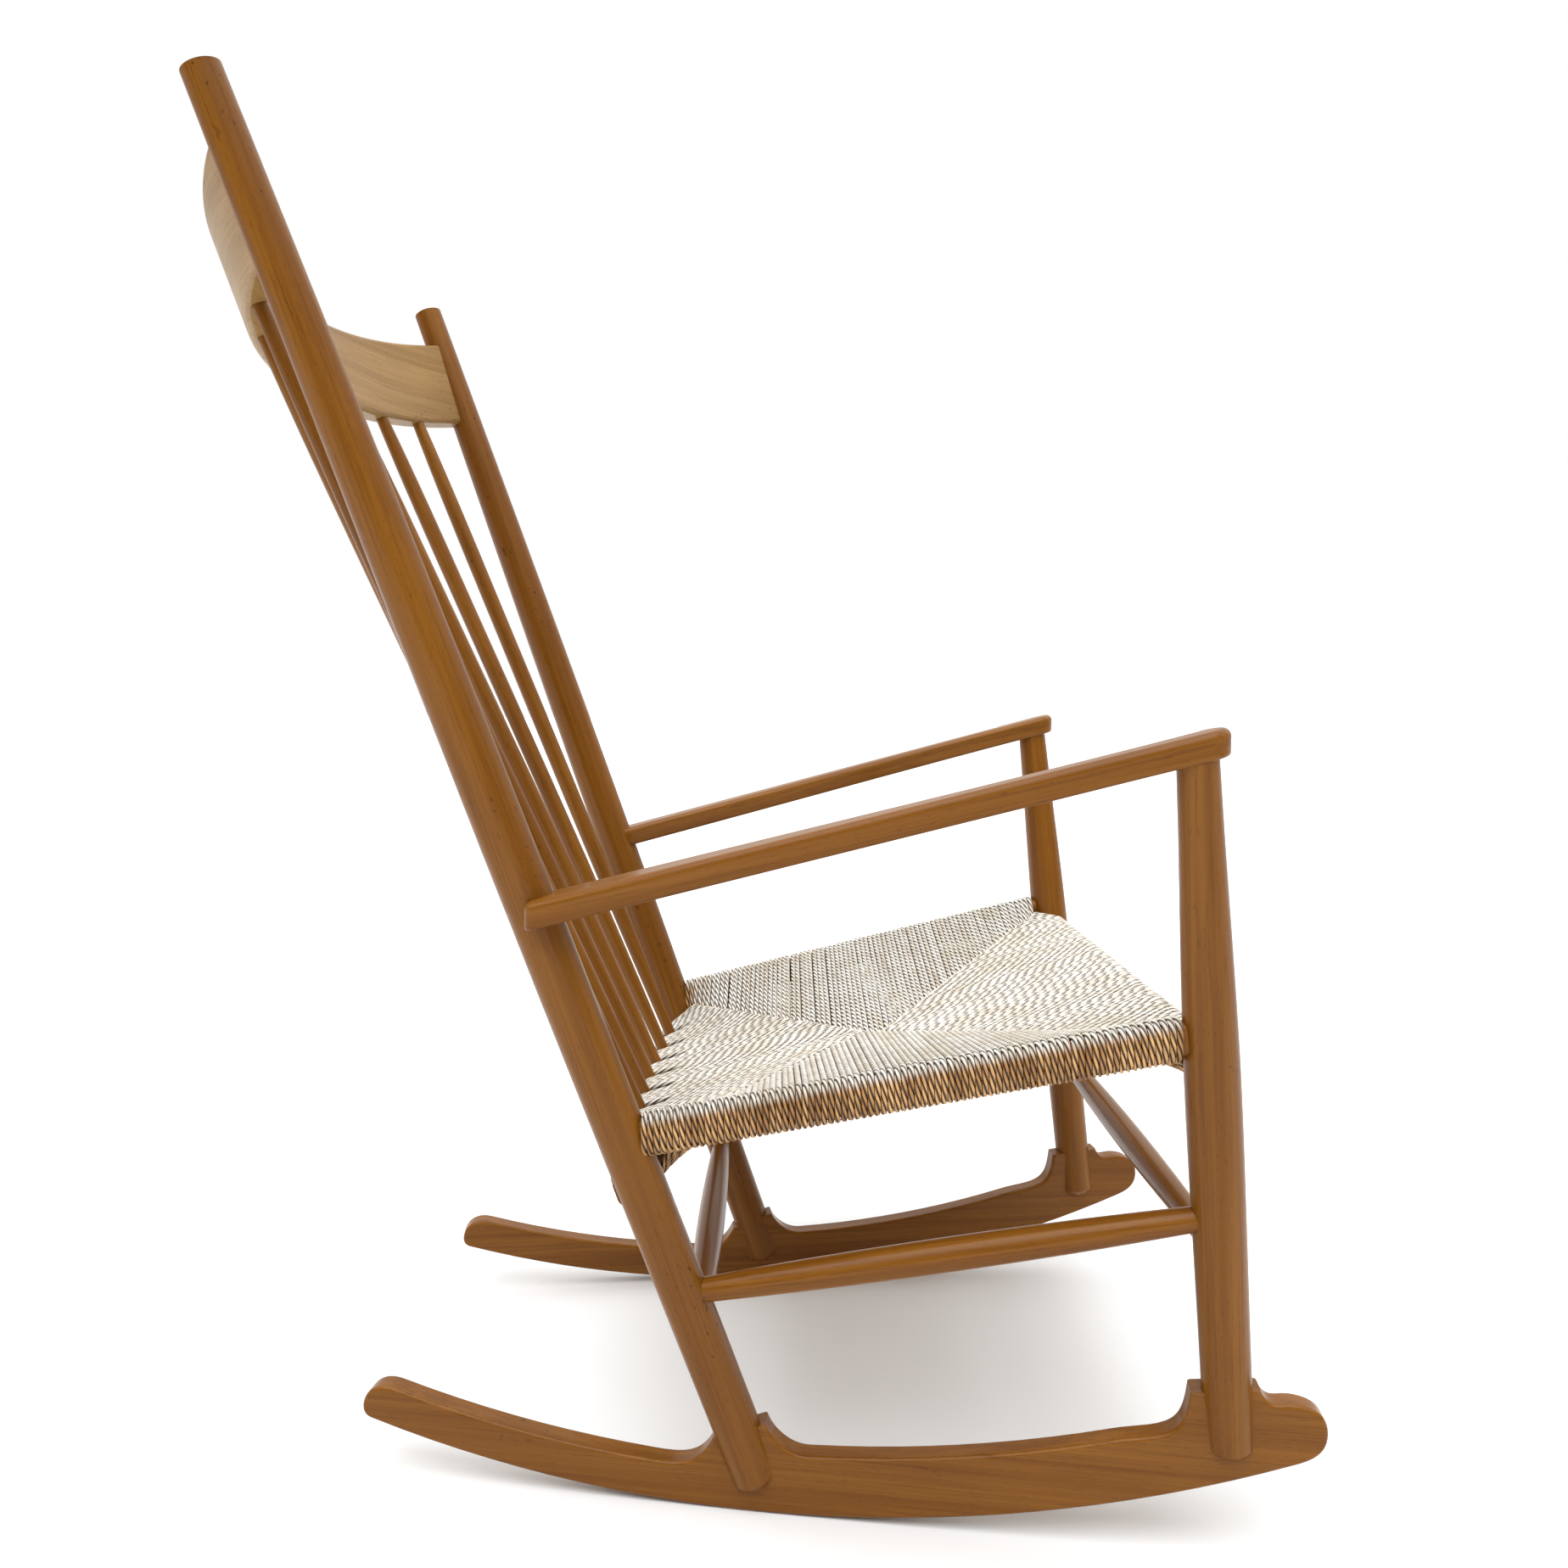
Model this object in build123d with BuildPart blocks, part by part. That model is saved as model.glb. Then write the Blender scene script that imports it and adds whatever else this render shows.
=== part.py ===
from build123d import *
import os
from math import asin, atan2, cos, degrees, radians, sin, sqrt, tan

# Rocking chair with a woven cord seat, in millimetres. +X is the sitter's front, +Y the
# sitter's left, +Z up. Everything is drawn on a level floor at z = 0, symmetric about y = 0.
# At the end the whole chair is leaned to the angle at which it balances by itself.

# ---- back posts ----
post_foot_x = -11.0  # where the post's axis would meet the floor
post_foot_y = 203.6
post_lean = 19.7  # degrees back from upright, seen from the side
post_splay = 4.1  # degrees outwards, seen from behind
post_end_z = 27.0  # where the rounding of the lower end starts
post_top_z = 1081.0
post_foot_r = 18.6
post_seat_r = 19.4
post_elbow_z = 500.0
post_elbow_r = 19.6
post_shoulder_z = 760.0
post_shoulder_r = 17.9
post_top_r = 14.4
post_foot_dome = 11.0
post_top_dome = 4.0

# ---- front legs ----
leg_foot_x = 350.8
leg_foot_y = 246.2
leg_lean = 5.4
leg_splay = 4.6
leg_end_z = 81.0
leg_foot_r = 18.6
leg_stretcher_r = 19.7
leg_seat_r = 20.0
leg_neck_r = 16.9  # half-way from the seat to the arm
leg_top_r = 14.6
leg_foot_dome = 10.0
leg_tenon_r = 10.0
leg_tenon_length = 13.0

# ---- rockers ----
rocker_thickness = 20.0
rocker_radius = 1115.0  # of the running edge
rocker_rear = 341.0  # length behind the lowest point, along the board
rocker_nose = 54.0  # length of the running edge in front of the leg
rocker_nose_bulge = 20.0  # how far the round nose reaches past the running edge
rocker_tail_height = 32.0
rocker_mid_height = 49.0
rocker_toe_in = 7.5  # degrees, the tails nearer together than the noses
rocker_mid_y = 208.0  # half the spacing of the boards at their lowest point
rocker_round = 3.0
rear_seat_z = 65.0  # on the post's axis, where the slot of the post ends on the board
front_seat_z = 126.0
seat_shoulder = 6.0  # how far the board's shoulders stand out from the post and the leg
toe_shoulder = 8.0  # the same behind the leg
tail_shoulder = 2.0  # and behind the post
nose_corner = 3.0  # how far the top of the nose keeps inside the board's square corner
valley_reach = 9.0  # from the leg's front shoulder forwards to the small valley
valley_fall = 10.0  # and down to it
hollow_from_leg = 82.0  # from the leg's axis back to where the board has its plain height
hollow_from_post = 58.0  # and from the post's axis forwards
leg_cove_reach = 7.0  # from a shoulder along the board to the middle of its cove
leg_cove_fall = 26.0  # and down to it
post_cove_reach = 12.0
post_cove_fall = 16.0
tail_cove_reach = 10.0
tail_cove_fall = 14.0
tail_from_post = 70.0  # from the post's axis back to where the tail has its plain height
tail_tip_length = 22.0  # of the rounded end
tail_tip_bulge = 18.0

# ---- arms ----
arm_thickness = 20.0
arm_front_z = 624.5  # top face above the front leg
arm_slope = 14.6  # degrees, rising to the front
arm_knuckle_r = 16.8
arm_knuckle_lead = 6.0  # the knuckle's centre in front of the leg's axis
arm_rear_width = 47.0  # where the arm meets the front of the post
arm_rear_y = 272.0  # outer edge at the rear end
arm_rear_x = -188.0
arm_waist_width = 33.0  # a third of the way back from the knuckle
arm_corner_r = 8.0
arm_top_round = 6.0
arm_under_round = 2.5
dowel_r = 5.0
dowel_length = 40.0

# ---- crest rail ----
crest_height = 90.6
crest_centre_z = 999.6  # on the posts' axes
crest_thickness = 19.0
crest_bow = 80.9
crest_fullness = 0.28  # how much fuller the bow is near its ends than a parabola
crest_set_back = 1.4  # of its ends behind the posts' axes
crest_waist = 4.1  # how much less high it is in the middle
crest_dip = 2.2  # how far the middle hangs below its ends
crest_round = 4.0
crest_stations = 7  # sections along the rail
crest_tenon_thickness = 10.0
crest_tenon_shoulder = 6.0
crest_tenon_round = 2.0
crest_tenon_past_axis = 5.0

# ---- spindles ----
spindle_count = 8
spindle_foot_pitch = 47.8
spindle_head_pitch = 59.5
spindle_foot_r = 5.7
spindle_belly_r = 8.6
spindle_neck_r = 7.6
spindle_head_r = 5.9
spindle_tenon_length = 17.0
spindle_foot_bow = 8.5  # the middle feet stand this much further back than the outer ones
spindle_foot_forward = 3.1  # of the outer feet from the middle of the rear rail's top
spindle_forward = 1.8  # of the heads from the middle of the crest rail

# ---- seat rails ----
rail_width = 18.0
rear_rail_width = 25.0
rear_rail_back = 9.0  # how far it stands back from the posts' axes
rail_height = 25.0
rail_round = 7.0
rail_tenon_r = 7.5
rear_rail_z = 271.5
side_rail_rear_z = 310.0
side_rail_front_z = 406.0
front_rail_z = 381.5

# ---- woven seat ----
cord_wrap = 4.5  # thickness of the cord on the rails
seat_ridge_x = 80.0  # rear end of the short ridge in the middle
seat_ridge = 16.0
seat_centre_z = 332.0
web_thickness = 22.0
web_tip = 2.0
weave_gap = 0.3  # between the cord and the wood

# ---- stretchers ----
side_stretcher_r = 12.8
side_stretcher_end_r = 9.6
side_stretcher_rear_z = 182.0
side_stretcher_front_z = 265.0
cross_stretcher_r = 12.8
cross_stretcher_end_r = 8.6
front_stretcher_z = 235.0
rear_stretcher_z = 153.0

# ---- joints ----
tenon_past_axis = 7.0  # how far a tenon reaches past the axis of the post or leg
tenon_fit = 0.1  # air around a tenon
socket_room = 1.0  # air left at the bottom of a socket
socket_lead = 30.0  # how far before the axis a socket's cut starts, outside the post

# ---- weights used to find the balance, in grams per cubic millimetre ----
wood_density = 0.6e-3
cord_density = 0.3e-3

up = Vector(0, 0, 1)
post_run = Vector(-tan(radians(post_lean)), tan(radians(post_splay)), 1).normalized()
leg_run = Vector(-tan(radians(leg_lean)), tan(radians(leg_splay)), 1).normalized()


def on_post(z):
    """The point of the left back post's axis at height z."""
    return Vector(post_foot_x, post_foot_y, 0) + post_run * (z / post_run.Z)


def on_leg(z):
    """The point of the left front leg's axis at height z."""
    return Vector(leg_foot_x, leg_foot_y, 0) + leg_run * (z / leg_run.Z)


def across(point):
    """The same point on the right side of the chair."""
    return Vector(point.X, -point.Y, point.Z)


def along(start, end):
    """A plane at start whose own Y runs to end, for the profile of a turned piece."""
    run = (end - start).normalized()
    side = run.cross(up) if abs(run.Y) > 0.9 else run.cross(Vector(0, 1, 0))
    return Plane(origin=start, x_dir=side, z_dir=side.cross(run))


def dome_middle(radius, rise):
    """The point half-way up the curve of a round end that is part of a ball."""
    ball = (radius**2 + rise**2) / (2 * rise)
    half = asin(radius / ball) / 2
    return ball * sin(half), rise - ball * (1 - cos(half))


def turned(start, end, stations, neck=0.0, foot_dome=0.0, top_dome=0.0, room=0.0):
    """A round piece from start to end. Its stations are (share of the length, radius). A neck
    is a straight tenon at each end, a dome a round end, and room is added all round."""
    length = (end - start).length
    body = length - 2 * neck
    points = [(radius + room, neck + share * body) for share, radius in stations]
    foot_r, top_r = points[0][0], points[-1][0]
    with BuildPart() as piece:
        with BuildSketch(along(start, end)):
            with BuildLine():
                Spline(*points)
                if neck:
                    Line((foot_r, 0), (foot_r, neck))
                    Line((top_r, length - neck), (top_r, length))
                if foot_dome:
                    out, rise = dome_middle(foot_r, foot_dome)
                    ThreePointArc((foot_r, 0), (out, -rise), (0, -foot_dome))
                else:
                    Line((foot_r, 0), (0, 0))
                if top_dome:
                    out, rise = dome_middle(top_r, top_dome)
                    ThreePointArc((top_r, length), (out, length + rise), (0, length + top_dome))
                else:
                    Line((top_r, length), (0, length))
                Line((0, -foot_dome), (0, length + top_dome))
            make_face()
        revolve(axis=Axis(start, end - start))
    return piece.part


def rod(start, end, radius):
    """A plain round bar, for a tenon, its socket or a dowel."""
    with BuildPart() as piece:
        with BuildSketch(Plane(origin=start, z_dir=end - start)):
            Circle(radius)
        extrude(amount=(end - start).length)
    return piece.part


def socket(point, inside, radius):
    """The hole for a tenon that comes from inside and ends past the axis at point."""
    run = (point - inside).normalized()
    deep = point + run * (tenon_past_axis + socket_room)
    return rod(point - run * socket_lead, deep, radius + tenon_fit)


def bar(start, end, width, height, corner, standing=up):
    """A bar of rounded rectangular section whose height runs along standing."""
    run = (end - start).normalized()
    with BuildPart() as piece:
        with BuildSketch(Plane(origin=start, x_dir=run.cross(standing), z_dir=run)):
            RectangleRounded(width, height, corner)
        extrude(amount=(end - start).length)
    return piece.part


def mirrored(piece):
    """The same piece on the other side of the chair."""
    with BuildPart() as other:
        mirror(piece, about=Plane.XZ)
    return other.part


# ---- places of the joints, on the left side ----
rear_rail_end = on_post(rear_rail_z)
side_rail_rear = on_post(side_rail_rear_z)
side_rail_front = on_leg(side_rail_front_z)
front_rail_end = on_leg(front_rail_z)
side_stretcher_rear = on_post(side_stretcher_rear_z)
side_stretcher_front = on_leg(side_stretcher_front_z)
front_stretcher_end = on_leg(front_stretcher_z)
rear_stretcher_end = on_post(rear_stretcher_z)

# ---- rocker ----
# The board stands upright in its own plane: local x runs along it to the nose, local y is up.
toe = radians(rocker_toe_in)
board_run = Vector(cos(toe), sin(toe), 0)
board = Plane(origin=(0, rocker_mid_y, 0), x_dir=board_run, z_dir=Vector(sin(toe), -cos(toe), 0))
rear_seat_s = on_post(rear_seat_z).X / cos(toe)
front_seat_s = on_leg(front_seat_z).X / cos(toe)


def on_edge(s, height=0.0):
    """The point at s along the board on a curve that runs height above the running edge."""
    return Vector(s, rocker_radius - sqrt((rocker_radius - height) ** 2 - s * s))


def edge_run(s, height=0.0):
    """The direction of that curve towards the nose."""
    return Vector(sqrt((rocker_radius - height) ** 2 - s * s), s).normalized()


def on_seat(s, z, lean, reach):
    """A point of the line on which a post's or leg's slot sits, reach in front of its axis."""
    return Vector(s + reach * cos(radians(lean)), z + reach * sin(radians(lean)))


with BuildPart() as rocker_left:
    with BuildSketch(board):
        with BuildLine():
            nose_run = (-1, 0.12)
            nose_s = front_seat_s + rocker_nose
            nose_foot = on_edge(nose_s)
            nose_top = nose_foot + Vector(-nose_corner, rocker_mid_height - nose_corner)
            nose_tip = nose_foot + Vector(rocker_nose_bulge, rocker_mid_height / 2)
            ThreePointArc(on_edge(-rocker_rear), on_edge(0), nose_foot)
            Spline(nose_foot, nose_tip, nose_top, tangents=[edge_run(nose_s), nose_run])
            # the shoulders of the front leg, with the small valley in front of them
            lip = on_seat(front_seat_s, front_seat_z, leg_lean, leg_foot_r + seat_shoulder)
            valley = lip + Vector(valley_reach, -valley_fall)
            Spline(nose_top, valley, lip, tangents=[nose_run, (-0.3, 1)])
            toe_lip = on_seat(front_seat_s, front_seat_z, leg_lean, -leg_foot_r - toe_shoulder)
            Line(lip, toe_lip)
            # the long hollow between the two legs
            hollow_front_s = front_seat_s - hollow_from_leg
            hollow_rear_s = rear_seat_s + hollow_from_post
            hollow_front = on_edge(hollow_front_s, rocker_mid_height)
            hollow_mid = on_edge((hollow_front_s + hollow_rear_s) / 2, rocker_mid_height)
            hollow_rear = on_edge(hollow_rear_s, rocker_mid_height)
            front_runs = [(-0.12, -1), -edge_run(hollow_front_s, rocker_mid_height)]
            toe_cove = toe_lip - Vector(leg_cove_reach, leg_cove_fall)
            Spline(toe_lip, toe_cove, hollow_front, tangents=front_runs)
            ThreePointArc(hollow_front, hollow_mid, hollow_rear)
            heel_lip = on_seat(rear_seat_s, rear_seat_z, post_lean, post_foot_r + seat_shoulder)
            heel_runs = [-edge_run(hollow_rear_s, rocker_mid_height), (-0.4, 1)]
            heel_cove = heel_lip + Vector(post_cove_reach, -post_cove_fall)
            Spline(hollow_rear, heel_cove, heel_lip, tangents=heel_runs)
            # the tail behind the back post
            tail_lip = on_seat(rear_seat_s, rear_seat_z, post_lean, -post_foot_r - tail_shoulder)
            Line(heel_lip, tail_lip)
            tail_front_s = rear_seat_s - tail_from_post
            tail_end_s = tail_tip_length - rocker_rear
            tail_front = on_edge(tail_front_s, rocker_tail_height)
            tail_mid = on_edge((tail_front_s + tail_end_s) / 2, rocker_tail_height)
            tail_top = on_edge(tail_end_s, rocker_tail_height)
            tail_runs = [(-0.5, -1), -edge_run(tail_front_s, rocker_tail_height)]
            tail_cove = tail_lip - Vector(tail_cove_reach, tail_cove_fall)
            Spline(tail_lip, tail_cove, tail_front, tangents=tail_runs)
            ThreePointArc(tail_front, tail_mid, tail_top)
            tail_tip = (tail_top + on_edge(-rocker_rear)) / 2 - Vector(tail_tip_bulge, 1)
            tip_runs = [-edge_run(tail_end_s, rocker_tail_height), edge_run(-rocker_rear)]
            Spline(tail_top, tail_tip, on_edge(-rocker_rear), tangents=tip_runs)
        make_face()
    extrude(amount=rocker_thickness / 2, both=True)
    cheek_edges = rocker_left.faces().filter_by(Axis((0, 0, 0), board.z_dir)).edges()
    fillet(cheek_edges.filter_by(GeomType.LINE, reverse=True), rocker_round)

# the open slots with which the post and the leg straddle the board
with BuildPart() as post_slot:
    with BuildSketch(board):
        with Locations((rear_seat_s, rear_seat_z)):
            Rectangle(4 * post_foot_r, 2 * rear_seat_z, post_lean, align=(Align.CENTER, Align.MAX))
    extrude(amount=rocker_thickness / 2 + tenon_fit, both=True)
with BuildPart() as leg_slot:
    with BuildSketch(board):
        with Locations((front_seat_s, front_seat_z)):
            Rectangle(4 * leg_foot_r, front_seat_z, leg_lean, align=(Align.CENTER, Align.MAX))
    extrude(amount=rocker_thickness / 2 + tenon_fit, both=True)

# ---- crest rail ----
# A board of rounded section that runs along a bow square to the posts.
crest_middle = Vector(on_post(crest_centre_z).X, 0, crest_centre_z)
crest_up = Vector(-sin(radians(post_lean)), 0, cos(radians(post_lean)))
crest_back = Vector(-cos(radians(post_lean)), 0, -sin(radians(post_lean)))
crest_span = on_post(crest_centre_z).Y  # half the distance between the posts' axes


def crest_offset(y):
    """How far behind the posts the middle of the rail's thickness lies."""
    inward = 1 - (y / crest_span) ** 2
    return crest_set_back + crest_bow * inward * (1 + crest_fullness * (1 - inward))


def crest_run(y):
    """The direction of that line towards the left post."""
    inward = 1 - (y / crest_span) ** 2
    slope = 2 * y / crest_span**2 * crest_bow * (1 + crest_fullness * (1 - 2 * inward))
    return Vector(0, 1, 0) - crest_back * slope


def crest_edge(y, side):
    """Height over the rail's centre of its top edge (side 1) or bottom edge (side -1)."""
    inward = 1 - (y / crest_span) ** 2
    return side * crest_height / 2 - inward * (crest_dip + side * crest_waist / 2)


def crest_board(thickness, shoulder, corner, reach):
    """The bowed board, lowered by shoulder at both edges and reaching past the posts' axes."""
    end_y = crest_span + reach
    with BuildPart() as piece:
        for step in range(crest_stations):
            y = end_y * (2 * step / (crest_stations - 1) - 1)
            low, high = crest_edge(y, -1) + shoulder, crest_edge(y, 1) - shoulder
            middle = crest_middle + Vector(0, y, 0) + crest_back * crest_offset(y)
            run = crest_run(y)
            seen = Plane(middle + crest_up * ((low + high) / 2), run.cross(crest_up), run)
            with BuildSketch(seen):
                RectangleRounded(thickness, high - low, corner)
        loft()
    return piece.part


# ---- back posts ----
post_start = on_post(post_end_z)
post_end = on_post(post_top_z)


def up_post(z):
    """The share of the post's length at height z."""
    return (z - post_end_z) / (post_top_z - post_end_z)


post_stations = [
    (0, post_foot_r),
    (up_post(rear_rail_z), post_seat_r),
    (up_post(post_elbow_z), post_elbow_r),
    (up_post(post_shoulder_z), post_shoulder_r),
    (1, post_top_r),
]
post_left_blank = turned(
    post_start, post_end, post_stations, foot_dome=post_foot_dome, top_dome=post_top_dome
)
post_right_blank = mirrored(post_left_blank)

# ---- front legs ----
arm_run = Vector(cos(radians(arm_slope)), 0, sin(radians(arm_slope)))
leg_top_x = on_leg(arm_front_z - arm_thickness).X
arm_normal = Vector(-arm_run.Z, 0, arm_run.X)
arm_top = Plane(origin=(leg_top_x, 0, arm_front_z), x_dir=arm_run, z_dir=arm_normal)
arm_under = arm_top.offset(-arm_thickness)
arm_under_z = arm_front_z - arm_thickness / arm_run.X  # under the arm, at the leg
leg_start = on_leg(leg_end_z)
leg_end = on_leg(arm_front_z)


def up_leg(z):
    """The share of the leg's length at height z."""
    return (z - leg_end_z) / (arm_front_z - leg_end_z)


leg_stations = [
    (0, leg_foot_r),
    (up_leg(side_stretcher_front_z), leg_stretcher_r),
    (up_leg(front_rail_z), leg_seat_r),
    (up_leg((side_rail_front_z + arm_front_z) / 2), leg_neck_r),
    (1, leg_top_r),
]
leg_left_blank = turned(leg_start, leg_end, leg_stations, foot_dome=leg_foot_dome)
leg_right_blank = mirrored(leg_left_blank)
leg_tenon_start = on_leg(arm_under_z)

# ---- dowels that hold the arms to the posts ----
arm_middle = arm_top.offset(-arm_thickness / 2)
climb = (arm_middle.origin - on_post(0)).dot(arm_middle.z_dir) / post_run.dot(arm_middle.z_dir)
elbow = on_post(0) + post_run * climb
notch = elbow + arm_run * post_elbow_r
dowel_start = notch - arm_run * (dowel_length / 2)
dowel_end = notch + arm_run * (dowel_length / 2)
dowel_left = rod(dowel_start, dowel_end, dowel_r)
dowel_room = arm_run * socket_room
dowel_hole = rod(dowel_start - dowel_room, dowel_end + dowel_room, dowel_r + tenon_fit)
with BuildPart() as arm_dowels:
    add(dowel_left)
    mirror(dowel_left, about=Plane.XZ)

# ---- posts and legs with their joints ----
set_back = crest_back * rear_rail_back
rear_end = rear_rail_end + set_back
rear_tenon_end = rear_rail_end + set_back / 2
crest_mortise = crest_board(
    crest_tenon_thickness + 2 * tenon_fit,
    crest_tenon_shoulder - tenon_fit,
    crest_tenon_round + tenon_fit,
    crest_tenon_past_axis + socket_room,
)
with BuildPart() as back_post_left:
    add(post_left_blank)
    add(post_slot.part, mode=Mode.SUBTRACT)
    add(crest_mortise, mode=Mode.SUBTRACT)
    add(dowel_hole, mode=Mode.SUBTRACT)
    add(socket(rear_tenon_end, across(rear_tenon_end), rail_tenon_r), mode=Mode.SUBTRACT)
    add(socket(side_rail_rear, side_rail_front, rail_tenon_r), mode=Mode.SUBTRACT)
    add(
        socket(rear_stretcher_end, across(rear_stretcher_end), cross_stretcher_end_r),
        mode=Mode.SUBTRACT,
    )
    add(
        socket(side_stretcher_rear, side_stretcher_front, side_stretcher_end_r),
        mode=Mode.SUBTRACT,
    )

with BuildPart() as front_leg_left:
    add(leg_left_blank)
    split(bisect_by=arm_under, keep=Keep.BOTTOM)
    add(rod(leg_tenon_start - leg_run, leg_tenon_start + leg_run * leg_tenon_length, leg_tenon_r))
    add(leg_slot.part, mode=Mode.SUBTRACT)
    add(socket(front_rail_end, across(front_rail_end), rail_tenon_r), mode=Mode.SUBTRACT)
    add(socket(side_rail_front, side_rail_rear, rail_tenon_r), mode=Mode.SUBTRACT)
    add(
        socket(front_stretcher_end, across(front_stretcher_end), cross_stretcher_end_r),
        mode=Mode.SUBTRACT,
    )
    add(
        socket(side_stretcher_front, side_stretcher_rear, side_stretcher_end_r),
        mode=Mode.SUBTRACT,
    )

# ---- arm ----
leg_tenon_socket = rod(
    leg_tenon_start - leg_run * arm_thickness,
    leg_tenon_start + leg_run * (leg_tenon_length + socket_room),
    leg_tenon_r + tenon_fit,
)
knuckle_y = leg_tenon_start.Y


def on_arm(x, y):
    """A point of the arm's outline, from its place in the plan of the chair."""
    return Vector((x - leg_top_x) / arm_run.X, y)


with BuildPart() as arm_left:
    with BuildSketch(arm_top):
        with BuildLine():
            knuckle = on_arm(leg_top_x + arm_knuckle_lead, knuckle_y)
            rear_outer = on_arm(arm_rear_x, arm_rear_y)
            flare = (knuckle + Vector(0, arm_knuckle_r) - rear_outer).normalized()
            front_outer = knuckle + Vector(-flare.Y, flare.X) * arm_knuckle_r
            front_inner = knuckle - Vector(0, arm_knuckle_r)
            tip = knuckle + Vector(arm_knuckle_r, 0)
            third = on_arm((2 * leg_top_x + arm_rear_x) / 3, knuckle_y)
            waist = front_outer - flare * (front_outer.X - third.X) - Vector(0, arm_waist_width)
            notch_inner = on_arm(notch.X, arm_rear_y - arm_rear_width)
            rear_inner = on_arm(elbow.X, notch_inner.Y)
            Line(rear_outer, front_outer)
            ThreePointArc(front_outer, tip, front_inner)
            Spline(front_inner, waist, notch_inner, tangents=[(-1, 0), (-1, -0.1)])
            Line(notch_inner, rear_inner)
            Line(rear_inner, rear_outer)
        make_face()
        fillet(vertices().sort_by(Axis.X)[0:2].sort_by(Axis.Y)[-1], arm_corner_r)
    extrude(amount=arm_thickness / arm_run.X, dir=(0, 0, -1))
    flats = faces().filter_by(Axis((0, 0, 0), arm_top.z_dir)).sort_by(Axis.Z)
    under_centre = flats[0].center()
    fillet(flats[-1].edges(), arm_top_round)
    under = faces().sort_by_distance(under_centre)[0]
    fillet(under.edges(), arm_under_round)
    add(post_left_blank, mode=Mode.SUBTRACT)
    add(leg_tenon_socket, mode=Mode.SUBTRACT)
    add(dowel_hole, mode=Mode.SUBTRACT)

# ---- crest rail, coped round the posts, with a tenon in each ----
crest_blank = crest_board(crest_thickness, 0, crest_round, 0)
crest_tenon = crest_board(
    crest_tenon_thickness, crest_tenon_shoulder, crest_tenon_round, crest_tenon_past_axis
)


def spindle_line(place):
    """Where a spindle's axis leaves the rear rail and enters the crest rail; place counts
    the spindles from the middle of the chair."""
    foot_y = place * spindle_foot_pitch
    outer_y = (spindle_count - 1) / 2 * spindle_foot_pitch
    bowed = spindle_foot_bow * (1 - (foot_y / outer_y) ** 2)
    rail_middle = Vector(rear_end.X, foot_y, rear_end.Z)
    foot = rail_middle + crest_up * (rail_height / 2) + crest_back * (bowed - spindle_foot_forward)
    head_y = place * spindle_head_pitch
    back = crest_offset(head_y) - spindle_forward
    head = crest_middle + Vector(0, head_y, 0) + crest_back * back
    return foot, head + crest_up * crest_edge(head_y, -1)


places = [number - (spindle_count - 1) / 2 for number in range(spindle_count)]
spindle_stations = [
    (0, spindle_foot_r),
    (0.38, spindle_belly_r),
    (0.7, (spindle_belly_r + spindle_neck_r) / 2),
    (0.88, spindle_neck_r),
    (1, spindle_head_r),
]
spindles = []
spindle_rooms = []
spindle_sockets = []
for place in places:
    foot, head = spindle_line(place)
    run = (head - foot).normalized()
    low, high = foot - run * spindle_tenon_length, head + run * spindle_tenon_length
    spindles.append(turned(low, high, spindle_stations, neck=spindle_tenon_length))
    spindle_rooms.append(rod(low, foot + run * 4 * cord_wrap, spindle_foot_r + weave_gap))
    foot_hole = rod(low - run * socket_room, foot + run * rail_height, spindle_foot_r + tenon_fit)
    head_hole = rod(head - run * rail_height, high + run * socket_room, spindle_head_r + tenon_fit)
    spindle_sockets.append((foot_hole, head_hole))

with BuildPart() as crest_rail:
    add(crest_blank)
    add(post_left_blank, mode=Mode.SUBTRACT)
    add(post_right_blank, mode=Mode.SUBTRACT)
    add(crest_tenon)
    for foot_hole, head_hole in spindle_sockets:
        add(head_hole, mode=Mode.SUBTRACT)

# ---- seat rails ----
past = tenon_past_axis
rear_start = across(rear_rail_end) + set_back
rear_body = bar(rear_start, rear_end, rear_rail_width, rail_height, rail_round, crest_up)
sideways = Vector(0, 1, 0)
with BuildPart() as seat_rail_rear:
    add(rear_body)
    add(post_left_blank, mode=Mode.SUBTRACT)
    add(post_right_blank, mode=Mode.SUBTRACT)
    add(rod(across(rear_tenon_end) - sideways * past, rear_tenon_end + sideways * past, rail_tenon_r))
    for foot_hole, head_hole in spindle_sockets:
        add(foot_hole, mode=Mode.SUBTRACT)

front_body = bar(across(front_rail_end), front_rail_end, rail_width, rail_height, rail_round)
with BuildPart() as seat_rail_front:
    add(front_body)
    add(leg_left_blank, mode=Mode.SUBTRACT)
    add(leg_right_blank, mode=Mode.SUBTRACT)
    add(rod(across(front_rail_end) - sideways * past, front_rail_end + sideways * past, rail_tenon_r))

side_run = (side_rail_front - side_rail_rear).normalized()
side_body = bar(side_rail_rear, side_rail_front, rail_width, rail_height, rail_round)
with BuildPart() as seat_rail_left:
    add(side_body)
    add(post_left_blank, mode=Mode.SUBTRACT)
    add(leg_left_blank, mode=Mode.SUBTRACT)
    add(rod(side_rail_rear - side_run * past, side_rail_front + side_run * past, rail_tenon_r))

# ---- stretchers, each one turned piece with its tenons ----


def stretcher(start, end, end_r, middle_r):
    """A turned bar between two axes, thickest in the middle, straight inside its sockets."""
    run = (end - start).normalized()
    stations = [(0, end_r), (0.5, middle_r), (1, end_r)]
    return turned(start - run * past, end + run * past, stations, neck=past + leg_seat_r)


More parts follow.
